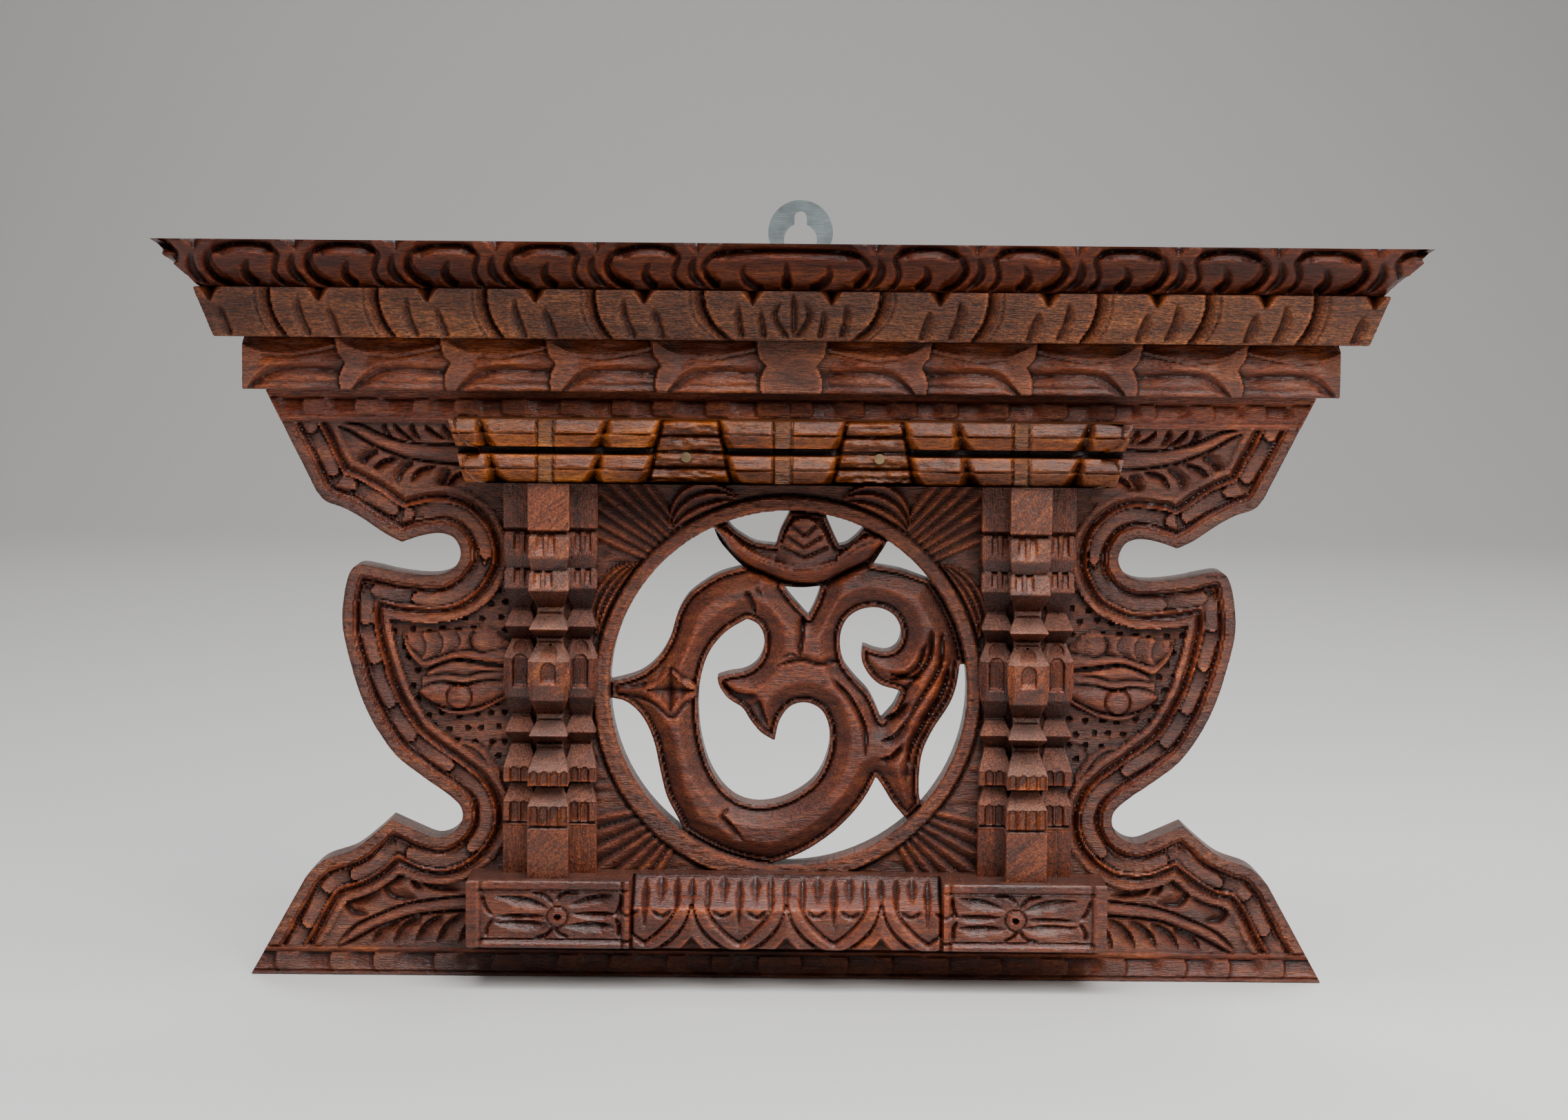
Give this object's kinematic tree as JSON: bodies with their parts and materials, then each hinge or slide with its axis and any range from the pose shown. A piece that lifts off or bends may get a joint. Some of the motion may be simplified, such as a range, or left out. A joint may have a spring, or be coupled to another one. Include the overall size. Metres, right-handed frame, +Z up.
{
  "type": "carved wooden window wall hanging",
  "caption": "Carved wooden window-style wall panel: fretted round opening, stepped cornice, lintel, sill, paired column clusters and a keyhole hanger.",
  "frame": {"origin": "centre of the panel's bottom edge, halfway through the boards' thickness", "axes": "+X to the right seen from the front, -Y out of the carved front, +Z up"},
  "size_m": [0.498, 0.0594, 0.313],
  "materials": {
    "board_wood": "dark red-brown stained hardwood, satin varnish",
    "moulding_wood": "dark red-brown stained hardwood, satin varnish",
    "amber_wood": "amber-brown stained hardwood, satin varnish",
    "column_wood": "red-brown stained hardwood, semi-gloss varnish",
    "zinc": "bright zinc plate, fine scratches",
    "nail_steel": "dull wire-nail steel"
  },
  "bodies": {
    "root": {"panel_upper_board": "board_wood", "panel_lower_board": "board_wood", "leaf_moulding": "moulding_wood", "petal_moulding": "moulding_wood", "crown": "moulding_wood", "lintel": "amber_wood", "sill": "board_wood", "column_left_outer": "column_wood", "column_left_front": "column_wood", "column_left_inner": "column_wood", "column_right_inner": "column_wood", "column_right_front": "column_wood", "column_right_outer": "column_wood", "hanger_plate": "zinc", "hanger_nails": "zinc", "lintel_nails": "nail_steel", "cornice_nails": "nail_steel", "sill_nails": "nail_steel"}
  },
  "joints": []
}
